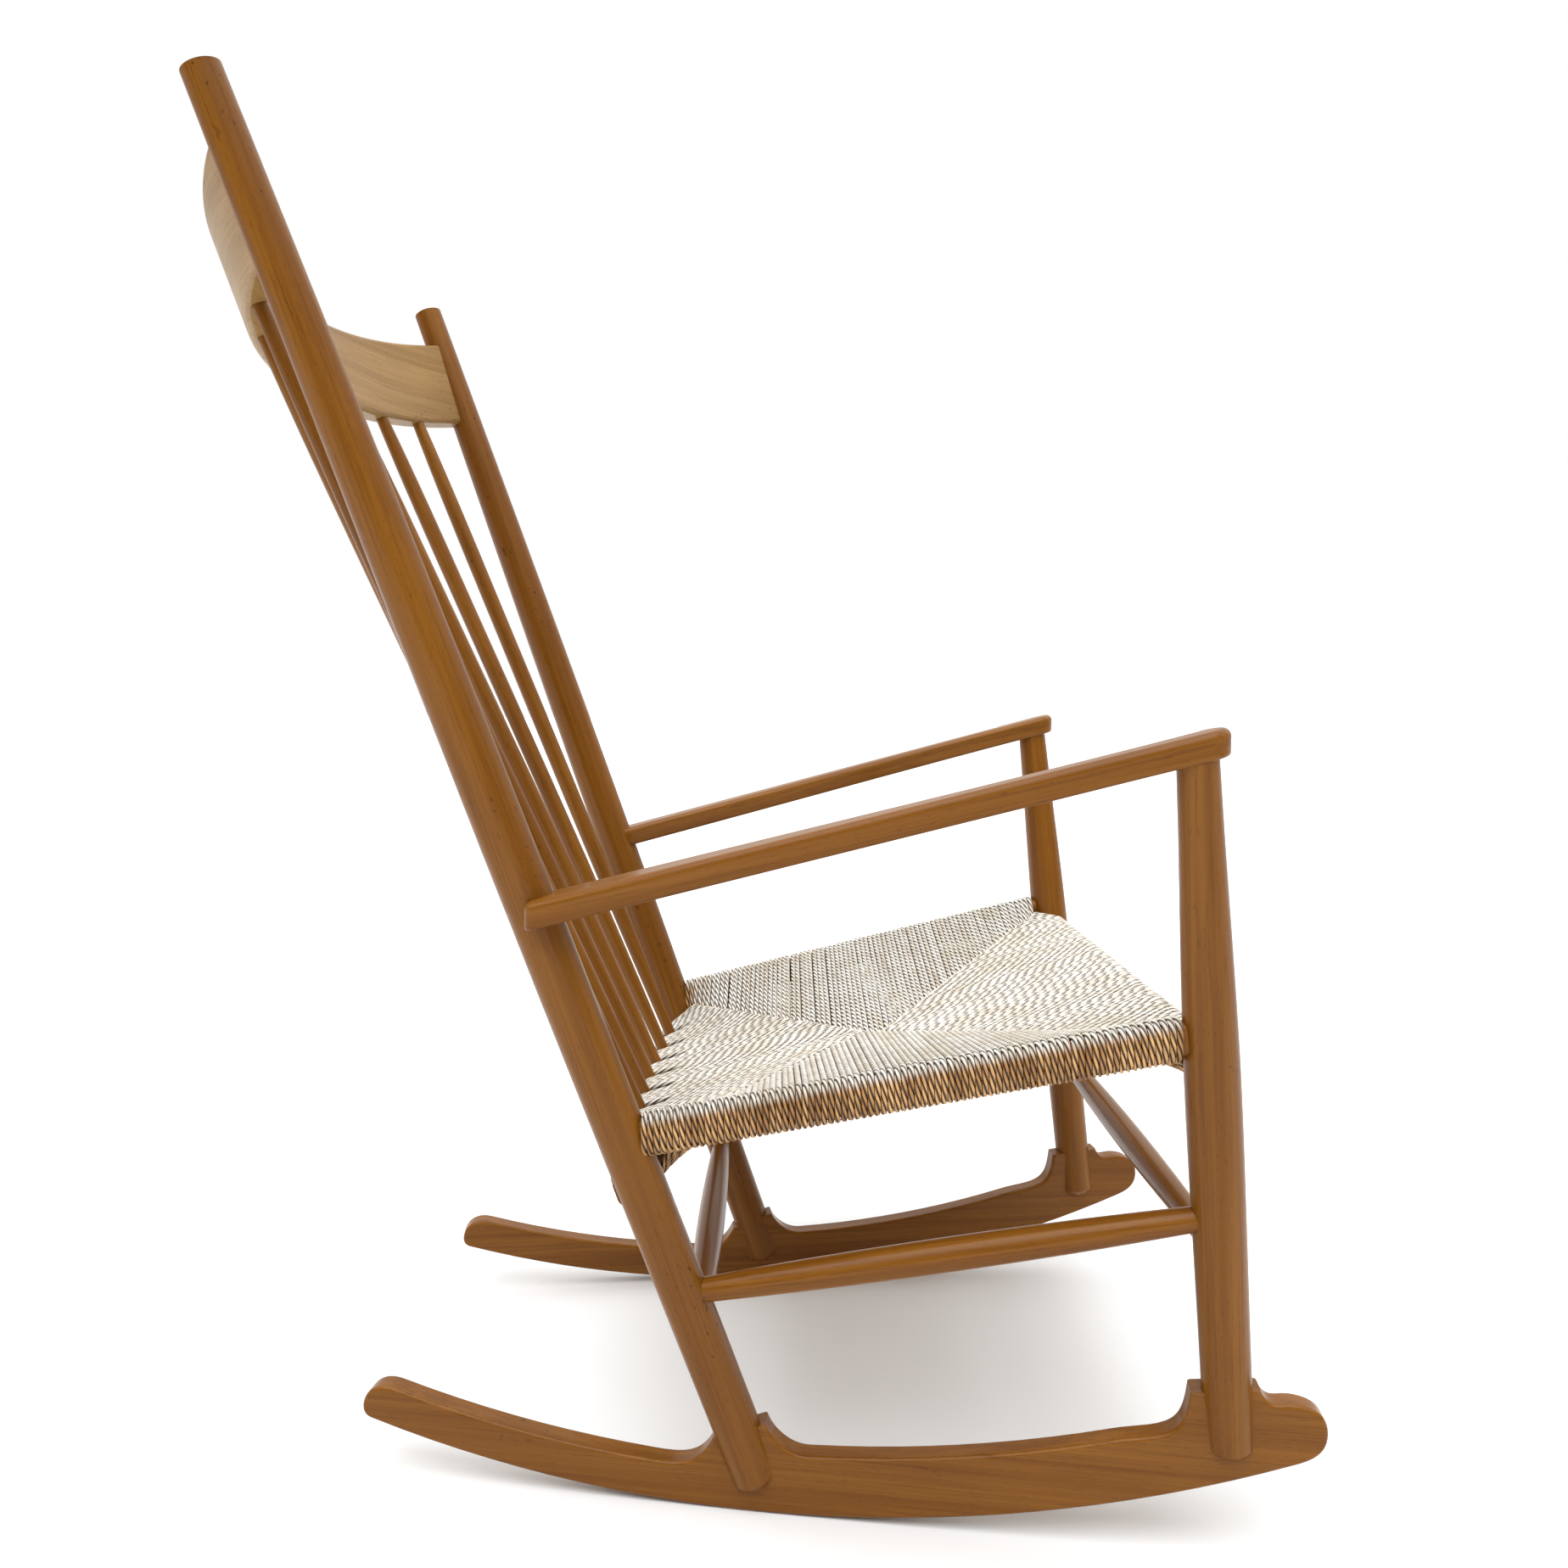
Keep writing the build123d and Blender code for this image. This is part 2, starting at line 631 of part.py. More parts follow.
front_stretcher = stretcher(
    across(front_stretcher_end), front_stretcher_end, cross_stretcher_end_r, cross_stretcher_r
)
rear_stretcher = stretcher(
    across(rear_stretcher_end), rear_stretcher_end, cross_stretcher_end_r, cross_stretcher_r
)
side_stretcher_left = stretcher(
    side_stretcher_rear, side_stretcher_front, side_stretcher_end_r, side_stretcher_r
)

# ---- woven seat: a wrap round each rail, and a field from each rail to the middle ridge ----
ridge_rear = Vector(seat_ridge_x, 0, seat_centre_z)
ridge_front = ridge_rear + Vector(seat_ridge, 0, 0)


def wrap(start, end, width, standing=up):
    """The cord round a rail, a layer thick on every side."""
    grown = 2 * cord_wrap
    return bar(start, end, width + grown, rail_height + grown, rail_round + cord_wrap, standing)


def rail_room(start, end, width, standing=up):
    """The hollow that the rail itself takes in the cord, with its air."""
    air = 2 * weave_gap
    return bar(start, end, width + air, rail_height + air, rail_round + weave_gap, standing)


def field(start, end, ridge_start, ridge_end, standing=up):
    """The woven web from a rail to the ridge, thinner and narrower towards the ridge."""
    rail = end - start
    ridge = ridge_end - ridge_start
    with BuildPart() as piece:
        with BuildSketch(Plane(origin=start, x_dir=rail, z_dir=rail.cross(standing))):
            Rectangle(rail.length, rail_height + 2 * cord_wrap, align=(Align.MIN, Align.CENTER))
        with BuildSketch(Plane(origin=ridge_start, x_dir=ridge, z_dir=ridge.cross(up))):
            Rectangle(ridge.length, web_thickness, align=(Align.MIN, Align.MAX))
        loft(ruled=True)
    return piece.part


tip = Vector(0, web_tip / 2, 0)
left_wrap = wrap(side_rail_rear, side_rail_front, rail_width)
left_room = rail_room(side_rail_rear, side_rail_front, rail_width)
left_field = field(side_rail_rear, side_rail_front, ridge_rear, ridge_front)
post_room = turned(post_start, post_end, post_stations, room=weave_gap)
leg_room = turned(leg_start, leg_end, leg_stations, room=weave_gap)
with BuildPart() as seat_weave:
    add(wrap(rear_start, rear_end, rear_rail_width, crest_up))
    add(wrap(across(front_rail_end), front_rail_end, rail_width))
    add(left_wrap)
    add(mirrored(left_wrap))
    add(left_field)
    add(mirrored(left_field))
    add(field(across(front_rail_end), front_rail_end, ridge_front - tip, ridge_front + tip))
    add(field(across(rear_rail_end), rear_rail_end, ridge_rear - tip, ridge_rear + tip, crest_up))
    add(rail_room(rear_start, rear_end, rear_rail_width, crest_up), mode=Mode.SUBTRACT)
    add(rail_room(across(front_rail_end), front_rail_end, rail_width), mode=Mode.SUBTRACT)
    add(left_room, mode=Mode.SUBTRACT)
    add(mirrored(left_room), mode=Mode.SUBTRACT)
    add(post_room, mode=Mode.SUBTRACT)
    add(mirrored(post_room), mode=Mode.SUBTRACT)
    add(leg_room, mode=Mode.SUBTRACT)
    add(mirrored(leg_room), mode=Mode.SUBTRACT)
    for room in spindle_rooms:
        add(room, mode=Mode.SUBTRACT)

# ---- every piece of the chair, by name ----
pieces = {
    "back_post_left": back_post_left.part,
    "back_post_right": mirrored(back_post_left.part),
    "front_leg_left": front_leg_left.part,
    "front_leg_right": mirrored(front_leg_left.part),
    "rocker_left": rocker_left.part,
    "rocker_right": mirrored(rocker_left.part),
    "arm_left": arm_left.part,
    "arm_right": mirrored(arm_left.part),
    "arm_dowels": arm_dowels.part,
    "crest_rail": crest_rail.part,
    "seat_rail_rear": seat_rail_rear.part,
    "seat_rail_front": seat_rail_front.part,
    "seat_rail_left": seat_rail_left.part,
    "seat_rail_right": mirrored(seat_rail_left.part),
    "seat_weave": seat_weave.part,
    "front_stretcher": front_stretcher,
    "rear_stretcher": rear_stretcher,
    "side_stretcher_left": side_stretcher_left,
    "side_stretcher_right": mirrored(side_stretcher_left),
}
for number, spindle in enumerate(spindles, start=1):
    pieces[f"spindle_{number}"] = spindle

# ---- the lean at which the chair stands still, its weight straight above its contact ----
mass = 0.0
moment = Vector(0, 0, 0)
for name, piece in pieces.items():
    weight = piece.volume * (cord_density if name == "seat_weave" else wood_density)
    mass += weight
    moment += piece.center(CenterOf.MASS) * weight
centre = moment / mass
# seen from the side, the toed-in boards roll on a slightly smaller circle than their own
lean = atan2(centre.X, rocker_radius * cos(toe) ** 2 - centre.Z)

# ---- stand the chair on z = 0 with its bounding box centred, and write the files ----
leaned = {name: piece.rotate(Axis.Y, degrees(lean)) for name, piece in pieces.items()}
boxes = [piece.bounding_box() for piece in leaned.values()]
front_x, rear_x = max(box.max.X for box in boxes), min(box.min.X for box in boxes)
shift = Vector(-(front_x + rear_x) / 2, 0, -min(box.min.Z for box in boxes))
os.makedirs("parts", exist_ok=True)
for name, piece in leaned.items():
    standing = piece.moved(Location(shift))
    standing.label = name
    export_step(standing, f"parts/{name}.step")
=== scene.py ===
import math
import random

import bpy
import numpy as np
from mathutils import Matrix, Vector


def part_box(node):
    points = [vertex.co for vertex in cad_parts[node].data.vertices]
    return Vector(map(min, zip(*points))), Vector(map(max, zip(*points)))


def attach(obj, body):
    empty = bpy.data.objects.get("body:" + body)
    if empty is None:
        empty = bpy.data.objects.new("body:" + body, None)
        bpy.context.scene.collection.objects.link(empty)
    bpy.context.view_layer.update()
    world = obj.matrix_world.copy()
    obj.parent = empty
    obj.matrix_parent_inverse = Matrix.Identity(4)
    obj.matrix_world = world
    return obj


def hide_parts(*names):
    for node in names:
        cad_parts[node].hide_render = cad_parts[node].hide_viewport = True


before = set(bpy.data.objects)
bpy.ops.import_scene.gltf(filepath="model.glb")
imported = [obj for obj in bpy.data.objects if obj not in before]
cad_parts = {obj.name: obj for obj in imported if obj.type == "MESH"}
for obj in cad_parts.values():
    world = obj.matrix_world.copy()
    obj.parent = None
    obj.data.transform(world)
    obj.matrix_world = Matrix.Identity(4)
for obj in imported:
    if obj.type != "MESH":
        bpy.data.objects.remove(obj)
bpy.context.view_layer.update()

print("frame loaded:", len(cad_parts), "nodes, one of them the woven seat")

# The chair is drawn upright and then leaned to the angle at which it balances.
stance = {"lean": -1.0972181689, "forward": 0.0379733, "raise": 0.0002185}  # degrees, metres
stand = (Matrix.Translation((stance["forward"], 0, stance["raise"]))
         @ Matrix.Rotation(math.radians(stance["lean"]), 4, "Y"))


class Wire:  # a socket that shader maths can be written with
    def __init__(self, tree, socket=None):
        self.tree, self.socket = tree, socket

    def node(self, kind, settings, sockets, output=0):
        made = self.tree.nodes.new(kind)
        for name, value in settings.items():
            setattr(made, name, value)
        for name, value in sockets.items():
            if isinstance(value, Wire):
                self.tree.links.new(value.socket, made.inputs[name])
            else:
                made.inputs[name].default_value = value
        return Wire(self.tree, made.outputs[output])

    def maths(self, operation, *values):
        return self.node("ShaderNodeMath", {"operation": operation}, dict(enumerate(values)))

    def __add__(self, other):
        return self.maths("ADD", self, other)

    def __mul__(self, other):
        return self.maths("MULTIPLY", self, other)

    def __sub__(self, other):
        return self.maths("SUBTRACT", self, other)

    def __rsub__(self, other):
        return self.maths("SUBTRACT", other, self)

    __radd__ = __add__
    __rmul__ = __mul__

    def between(self, low, high):  # 0 at low, 1 at high, smooth
        return self.node("ShaderNodeMapRange", {"interpolation_type": "SMOOTHSTEP"},
                         {"Value": self, "From Min": low, "From Max": high})

    def blend(self, first, second):  # colours, by this value
        return self.node("ShaderNodeMix", {"data_type": "RGBA"}, {0: self, 6: first, 7: second}, 2)

    def stretched(self, scale):
        return self.node("ShaderNodeVectorMath", {"operation": "MULTIPLY"}, {0: self, 1: scale})

    def noise(self, scale, detail=2.0, roughness=0.5):
        return self.node("ShaderNodeTexNoise", {}, {
            "Vector": self, "Scale": scale, "Detail": detail, "Roughness": roughness})

    def figure(self, scale, detail, roughness):  # noise with a scale of its own each way
        return self.stretched(scale).noise(1.0, detail, roughness)

    def attribute(self, name):
        return self.node("ShaderNodeAttribute", {"attribute_name": name}, {}, 2)

    def objectPlace(self):
        return self.node("ShaderNodeTexCoord", {}, {}, 3)


def newMaterial(name):
    material = bpy.data.materials.new(name)
    material.use_nodes = True
    material.node_tree.nodes.clear()
    return material, Wire(material.node_tree)


def finishMaterial(start, shader):
    end = start.tree.nodes.new("ShaderNodeOutputMaterial")
    start.tree.links.new(shader.socket, end.inputs["Surface"])


# The wood: close-grained and golden, under a satin lacquer. A figure is given by how often
# it changes in a metre along the grain, into the board and across it, then by its detail
# and roughness. Its edge says where it sets in and where it is full.
beech = {
    "pale": (0.222, 0.087, 0.0095, 1),
    "golden": (0.158, 0.055, 0.0036, 1),
    "dark": (0.090, 0.028, 0.0024, 1),
    "fleck": (0.050, 0.016, 0.0020, 1),
    "cloud": ((3.0, 9.0, 9.0), 2.0, 0.5), "cloudEdge": (0.42, 0.72), "cloudShare": 0.3,
    "bands": ((1.0, 85.0, 85.0), 3.0, 0.6), "bandEdge": (0.3, 0.7),
    "streaks": ((6.0, 460.0, 460.0), 3.0, 0.7), "streakEdge": (0.46, 0.74), "streakShare": 0.55,
    "flecks": ((130.0, 650.0, 1000.0), 1.0, 0.4), "fleckEdge": (0.64, 0.72), "fleckShare": 0.28,
    "pits": ((170.0, 260.0, 260.0), 0.0, 0.5), "pitEdge": (0.77, 0.80), "pitShare": 0.7,
    "pitPlaces": (0.5, 0.65),  # the part of a cloud in which pits come
    "relief": 0.12,
    "reliefDepth": 0.0004,
    "streakRelief": 0.6,
    "fleckRelief": 0.4,
    "roughness": 0.34,
    "roughnessRange": 0.16,
    "specular": 0.15,
    "coat": 0.12,
    "coatRoughness": 0.10,
    "shift": 3.0,  # metres by which one piece's figure may lie away from the next one's
}
# The crest rail is painted paler, a painted sheen for the light its faces reflect at a glancing angle.
# It is bowed, so its figure changes slowly into the board.
paintedSheenBeech = {
    **beech,
    "pale": (0.34, 0.205, 0.075, 1),
    "golden": (0.245, 0.135, 0.042, 1),
    "dark": (0.15, 0.076, 0.021, 1),
    "bands": ((1.0, 3.4, 85.0), 3.0, 0.6),
    "streaks": ((6.0, 18.4, 460.0), 3.0, 0.7),
}
# which way the grain runs, on the sitter's left where a piece has a twin
grains = {
    "back_post": (-0.3369, 0.0675, 0.9391),
    "front_leg": (-0.0935, 0.0796, 0.9924),
    "rocker": (0.9914, 0.1305, 0.0),
    "arm": (0.9677, 0.08, 0.2521),
    "arm_dowels": (0.97, 0, 0.25),
    "crest": (0, 1, 0),
    "spindle": (-0.42, 0, 0.907),
    "seat_rail": (0, 1, 0),
    "seat_rail_left": (0.967, 0.119, 0.223),
    "seat_rail_right": (0.967, -0.119, 0.223),
    "front_stretcher": (0, 1, 0),
    "rear_stretcher": (0, 1, 0),
    "side_stretcher": (0.973, 0.124, 0.196),
}


def woodMaterial(name, middle, grain, seed, wood):
    material, start = newMaterial(name)
    turn = grain.to_track_quat("X", "Z").to_euler()
    chance = random.Random(seed)
    shift = Vector([chance.uniform(-wood["shift"], wood["shift"]) for _ in range(3)])
    local = start.node("ShaderNodeMapping", {"vector_type": "TEXTURE"}, {
        "Vector": start.objectPlace(), "Location": middle + shift, "Rotation": turn})
    cloud = local.figure(*wood["cloud"])
    bands = local.figure(*wood["bands"])
    streaks = local.figure(*wood["streaks"])
    flecks = local.figure(*wood["flecks"])
    pits = local.figure(*wood["pits"])
    clouded = cloud.between(*wood["cloudEdge"]) * wood["cloudShare"]
    streaked = streaks.between(*wood["streakEdge"]) * wood["streakShare"]
    flecked = flecks.between(*wood["fleckEdge"]) * wood["fleckShare"]
    pitted = pits.between(*wood["pitEdge"]) * cloud.between(*wood["pitPlaces"]) * wood["pitShare"]
    body = bands.between(*wood["bandEdge"]).blend(wood["golden"], wood["pale"])
    body = clouded.blend(body, wood["dark"])
    body = streaked.blend(body, wood["dark"])
    body = flecked.blend(body, wood["fleck"])
    body = pitted.blend(body, wood["fleck"])
    relief = streaks * wood["streakRelief"] + flecks * wood["fleckRelief"]
    bump = start.node("ShaderNodeBump", {}, {
        "Strength": wood["relief"], "Distance": wood["reliefDepth"], "Height": relief})
    shader = start.node("ShaderNodeBsdfPrincipled", {}, {
        "Base Color": body,
        "Roughness": wood["roughness"] + (cloud - 0.5) * wood["roughnessRange"],
        "Normal": bump,
        "Coat Weight": wood["coat"],
        "Coat Roughness": wood["coatRoughness"],
        "Specular IOR Level": wood["specular"]})
    finishMaterial(start, shader)
    return material


def dressWood():
    for number, (name, node) in enumerate(sorted(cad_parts.items())):
        if name == "seat_weave":
            continue
        key = max((start for start in grains if name.startswith(start)), key=len)
        grain = Vector(grains[key])
        if name.endswith("_right") and not key.endswith("_right"):
            grain.y = -grain.y
        low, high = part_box(name)
        # the crest rail gets the paler wood with its painted sheen
        wood = paintedSheenBeech if name == "crest_rail" else beech
        material = woodMaterial("wood_" + name, Vector((low + high) / 2), grain, number, wood)
        node.data.materials.clear()
        node.data.materials.append(material)
    print("wood finished:", len(grains), "grain directions")


# the woven seat, in millimetres before the chair is leaned
weave = {
    "strands": 3,
    "cord": 2.45,  # radius over the strands
    "valley": 1.3,  # radius between them
    "shoulder": 24.0,  # degrees from a strand's middle to its corners
    "lay": 28.5,  # length of one full twist
    "step": 2.1,  # between the cord's rings
    "softenings": 6,  # rounds of smoothing
    "overWood": 2.4,  # from the rail to the middle of the cord
    "thickness": 17.0,  # of the seat in its middle
    "plunge": 7.0,  # how deep a cord dives at the seam, from above
    "plungeBelow": 6.0,  # and from below
    "lean": 1.5,  # how far it goes on past the seam as it dives
    "sway": 0.22,  # how far a cord usually lies to one side
    "slips": 0.06,  # the share of cords that lie further off
    "slip": 0.7,  # and how far
    "sideSeed": 40,
    "frontSeed": 44,
    "cordSeed": 11,
    "creaseShift": 7.0,  # metres by which one cord's creases may lie away from the next one's
    "cornerPoints": 13,  # round each corner of a rail
}
# each rail's middle line, its half width and height, and where its cords lie
rails = {
    "side": {
        "rear": (-122.0, 225.82, 310.0), "front": (312.42, 278.87, 406.0),
        "half": (9.0, 12.5), "corner": 7.0,
        "firstCord": -104.0, "lastCord": 296.0, "pitch": 4.9,
        "seamGap": 14.0,  # the least from the seam to the middle of the rail
    },
    "front": {
        "x": 314.74, "z": 381.5, "half": (9.0, 12.5), "corner": 7.0,
        "reach": 258.0, "pitch": 5.0, "seamGap": 14.0,
    },
    "rear": {
        "x": -116.684, "z": 268.466, "half": (12.5, 12.5), "corner": 7.0,
        "lean": 19.7,  # degrees
        "reach": 203.0,
    },
}
# The side fields meet on a short ridge in the middle, and the four seams run from its ends.
ridge = {
    "rear": 80.0, "front": 96.0, "z": 332.0,
    "frontSpread": 1.32, "rearSpread": 1.17,  # how fast the seams run apart
    "frontRise": 0.3525, "rearRise": 0.1356,
}
# Between the spindles' feet the rear cords are squeezed together.
bundles = {
    "count": 8, "pitch": 47.8,  # of the feet
    "footRoom": 6.6,
    "wall": 204.0, "wallRoom": 1.5,
    "cordRoom": 0.8,  # of a cord's radius
    "cordPitch": 3.85,
    "fadeEnd": 34.0, "fadeLength": 22.0,  # ahead of the rail
    "riseStart": 2.0, "riseLength": 10.0,  # over its middle
}
forwards, leftwards, upwards = np.eye(3)
slanting = np.array([0.3, 0.4, 0.9])  # no cord starts this way


def roundedLoop(halfWide, halfHigh, corner):
    # from the inner top corner over the outside to the inner bottom corner
    points = []
    for across, up, start in ((-1, 1, 180), (1, 1, 90), (1, -1, 0), (-1, -1, -90)):
        middle = np.array([across * (halfWide - corner), up * (halfHigh - corner)])
        for angle in np.radians(np.linspace(start, start - 90, weave["cornerPoints"])):
            points.append(middle + corner * np.array([math.cos(angle), math.sin(angle)]))
    return np.array(points)


def belt(section, over, under):
    # the part of a rail's outline that a cord touches between two points beside the rail
    def steepness(place):
        away = section - place
        return np.arctan2(away[:, 1], away[:, 0])
    first = int(np.argmax(np.where(section[:, 1] > 0, steepness(over), -np.inf)))
    last = int(np.argmin(np.where(section[:, 1] < 0, steepness(under), np.inf)))
    return section[first:last + 1]


def evenly(points, step):  # the same line with points step apart
    lengths = np.linalg.norm(np.diff(points, axis=0), axis=1)
    reach = np.concatenate([[0], np.cumsum(lengths)])
    count = max(3, int(round(reach[-1] / step)) + 1)
    at = np.linspace(0, reach[-1], count)
    return np.stack([np.interp(at, reach, points[:, k]) for k in range(points.shape[1])], 1), at


def softened(points, times):
    for _ in range(times):
        points[1:-1] = points[1:-1] * 0.5 + (points[:-2] + points[2:]) * 0.25
    return points


def seamHeight(x):
    if x >= ridge["rear"]:
        return ridge["z"] + ridge["frontRise"] * max(0.0, x - ridge["front"])
    return ridge["z"] + ridge["rearRise"] * (x - ridge["rear"])


def loopPath(middle, outward, upward, rail, seam):
    # one loop of cord, from inside the seat over the seam, round the rail and back below
    grow = weave["overWood"]
    section = roundedLoop(rail["half"][0] + grow, rail["half"][1] + grow, rail["corner"] + grow)
    rise = seam - middle
    across, height = float(rise @ outward), float(rise @ upward)
    bottom = height - weave["thickness"]
    over, under = np.array([across, height]), np.array([across, bottom])
    dive = np.array([across - weave["lean"], height - weave["plunge"]])
    back = np.array([across - weave["lean"], bottom + weave["plungeBelow"]])
    flat = np.vstack([dive, over, belt(section, over, under), under, back])
    flat, _ = evenly(flat, weave["step"] / 2)
    flat, at = evenly(softened(flat, weave["softenings"]), weave["step"])
    course = np.gradient(flat, axis=0)
    facing = course[:, 0] / np.linalg.norm(course, axis=1)  # 1 where the cord is on top, -1 below
    return middle + flat[:, :1] * outward + flat[:, 1:] * upward, at, facing


def sway(chance, facing):  # a cord lies a little to one side on top of the seat
    shift = chance.gauss(0, weave["sway"])
    if chance.random() < weave["slips"]:
        shift += chance.choice((-weave["slip"], weave["slip"]))
    return shift * np.clip(facing, 0, 1)


def sideLoops(side):
    chance = random.Random(weave["sideSeed"] + side)
    rail = rails["side"]
    rear, front = np.array(rail["rear"]), np.array(rail["front"])
    loops = []
    for number in range(int((rail["lastCord"] - rail["firstCord"]) / rail["pitch"])):
        x = rail["firstCord"] + number * rail["pitch"]
        middle = rear + (front - rear) * (x - rear[0]) / (front[0] - rear[0])
        if x > ridge["front"]:
            seamY = ridge["frontSpread"] * (x - ridge["front"])
        elif x > ridge["rear"]:
            seamY = 0.0
        else:
            seamY = ridge["rearSpread"] * (ridge["rear"] - x)
        seam = np.array([x, min(seamY, middle[1] - rail["seamGap"]), seamHeight(x)])
        points, at, facing = loopPath(middle, leftwards, upwards, rail, seam)
        points[:, 1] *= side
        points[:, 0] += sway(chance, facing)
        loops.append((points, at, facing))
    return loops


def frontLoops():
    chance = random.Random(weave["frontSeed"])
    rail = rails["front"]
    width = 2 * rail["reach"]
    gaps = int(width / rail["pitch"])
    loops = []
    for number in range(gaps + 1):
        y = -rail["reach"] + number * width / gaps
        seamX = min(ridge["front"] + abs(y) / ridge["frontSpread"], rail["x"] - rail["seamGap"])
        middle = np.array([rail["x"], y, rail["z"]])
        seam = np.array([seamX, y, seamHeight(seamX)])
        points, at, facing = loopPath(middle, forwards, upwards, rail, seam)
        points[:, 1] += sway(chance, facing)
        loops.append((points, at, facing))
    return loops


def squeezedPlaces():  # where the rear cords lie on their rail
    middleFoot = (bundles["count"] - 1) / 2
    feet = [(k - middleFoot) * bundles["pitch"] for k in range(bundles["count"])]
    wall = bundles["wall"]
    stops = [-wall] + feet + [wall]
    places = []
    for low, high in zip(stops[:-1], stops[1:]):
        lowRoom = bundles["footRoom"] if low > -wall else bundles["wallRoom"]
        highRoom = bundles["footRoom"] if high < wall else bundles["wallRoom"]
        start = low + lowRoom + weave["cord"] * bundles["cordRoom"]
        end = high - highRoom - weave["cord"] * bundles["cordRoom"]
        count = int(round((end - start) / bundles["cordPitch"])) + 1
        places += list(np.linspace(start, end, count))
    return places


def rearLoops():
    rail = rails["rear"]
    lean = math.radians(rail["lean"])
    outward = np.array([-math.cos(lean), 0, -math.sin(lean)])
    upward = np.array([-math.sin(lean), 0, math.cos(lean)])
    middle = np.array([rail["x"], 0, rail["z"]])
    squeezed = squeezedPlaces()
    loops = []
    for number, tight in enumerate(squeezed):
        y = -rail["reach"] + 2 * rail["reach"] * number / (len(squeezed) - 1)
        seamX = ridge["rear"] - abs(y) / ridge["rearSpread"]
        seam = np.array([seamX, 0, seamHeight(seamX)])
        points, at, facing = loopPath(middle, outward, upward, rail, seam)
        over = (points - middle) @ upward
        ahead = (points - middle) @ -outward
        near = np.clip((bundles["fadeEnd"] - ahead) / bundles["fadeLength"], 0, 1)
        high = np.clip((over - bundles["riseStart"]) / bundles["riseLength"], 0, 1)
        grip = near * high
        grip = grip * grip * (3 - 2 * grip)  # eased at both ends
        points[:, 1] = y + (tight - y) * grip
        loops.append((points, at, facing))
    return loops


def carriedFrame(run):  # two directions across the cord, carried along it without turning
    side = np.zeros_like(run)
    axis = np.cross(run[0], slanting)
    for k in range(len(run)):
        axis = axis - run[k] * (axis @ run[k])
        axis /= np.linalg.norm(axis)
        side[k] = axis
    return side, np.cross(run, side)


def twistedCords(name, loops, seed):
    chance = random.Random(seed)
    strands, shoulder = weave["strands"], weave["shoulder"]
    parts = (-shoulder, shoulder, 180 / strands)  # a strand's two corners and the valley after it
    angles = np.radians([strand * 360 / strands + part for strand in range(strands) for part in parts])
    radii = np.tile([weave["cord"], weave["cord"], weave["valley"]], strands)
    around = len(radii)
    spots, faces = [], []
    marks = {"groove": [], "tone": [], "along": [], "round": [], "top": []}
    first = 0
    for points, at, facing in loops:
        run = np.gradient(points, axis=0)
        run /= np.linalg.norm(run, axis=1, keepdims=True)
        side, other = carriedFrame(run)
        tone = chance.random()
        phase = chance.random() * 2 * math.pi
        theta = (-2 * math.pi * at / weave["lay"] + phase)[:, None] + angles[None, :]
        spoke = (np.cos(theta)[..., None] * side[:, None, :]
                 + np.sin(theta)[..., None] * other[:, None, :])
        rings = points[:, None, :] + radii[None, :, None] * spoke
        count = len(points)
        spots.append(rings.reshape(-1, 3))
        # 1 in the valleys between strands, where the material paints shade
        marks["groove"].append(np.tile((radii < weave["cord"]).astype(float), count))
        marks["tone"].append(np.full(count * around, tone))
        marks["along"].append(np.repeat(at / 1000, around) + tone * weave["creaseShift"])
        marks["round"].append(np.tile(np.arange(around) / around, count))
        marks["top"].append(np.repeat(facing, around))
        index = first + np.arange(count * around).reshape(count, around)
        after = np.roll(index, -1, axis=1)
        quads = np.stack([index[:-1], after[:-1], after[1:], index[1:]], -1)
        faces += quads.reshape(-1, 4).tolist()
        faces.append(index[0][::-1].tolist())
        faces.append(index[-1].tolist())
        first += count * around
    leaned = np.array(stand)
    spots = np.concatenate(spots) / 1000 @ leaned[:3, :3].T + leaned[:3, 3]  # now in metres
    mesh = bpy.data.meshes.new(name)
    mesh.from_pydata(spots.tolist(), [], faces)
    for label, values in marks.items():
        layer = mesh.attributes.new(label, "FLOAT", "POINT")
        layer.data.foreach_set("value", np.concatenate(values))
    mesh.shade_smooth()
    piece = bpy.data.objects.new(name, mesh)
    bpy.context.scene.collection.objects.link(piece)
    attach(piece, "root")
    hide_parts("seat_weave")
    print(name, len(loops), "loops of cord,", sum(len(face) - 2 for face in faces), "triangles")
    return piece


# the paper of the cord: straw-coloured round the rails, painted paler and whiter on top of the seat as
# painted light and painted sheen from the light above
straw = {
    "paleTopPaintedLight": (0.80, 0.795, 0.76, 1),
    "warmTopPaintedLight": (0.70, 0.655, 0.57, 1),
    "paleSide": (0.73, 0.44, 0.195, 1),
    "warmSide": (0.35, 0.165, 0.052, 1),
    "paintedLightEdge": (0.15, 0.9),
    "patches": 30.0,  # a metre
    "patchShare": 0.8,
    "toneShare": 0.2,
    "warmEdge": (0.3, 0.72),
    "crease": (0.19, 0.105, 0.045, 1),
    "creaseAlong": 70.0,
    "creaseRound": 14.0,
    "creaseApart": 40.0,  # so that two cords crease differently
    "creaseDetail": 3.0,
    "creaseRoughness": 0.6,
    "creaseEdge": (0.44, 0.70),
    "creaseShare": 0.75,
    "creaseLessOnTop": 0.2,
    # painted shade laid in the valleys between the strands, a little less on top of the seat
    "groove": (0.022, 0.009, 0.003, 1),
    "grooveEdge": (0.04, 0.62),
    "grooveShare": 0.97,
    "grooveLessOnTop": 0.08,
    "relief": 0.35,
    "reliefDepth": 0.0005,
    "roughness": 0.6,
    "ior": 1.45,
}


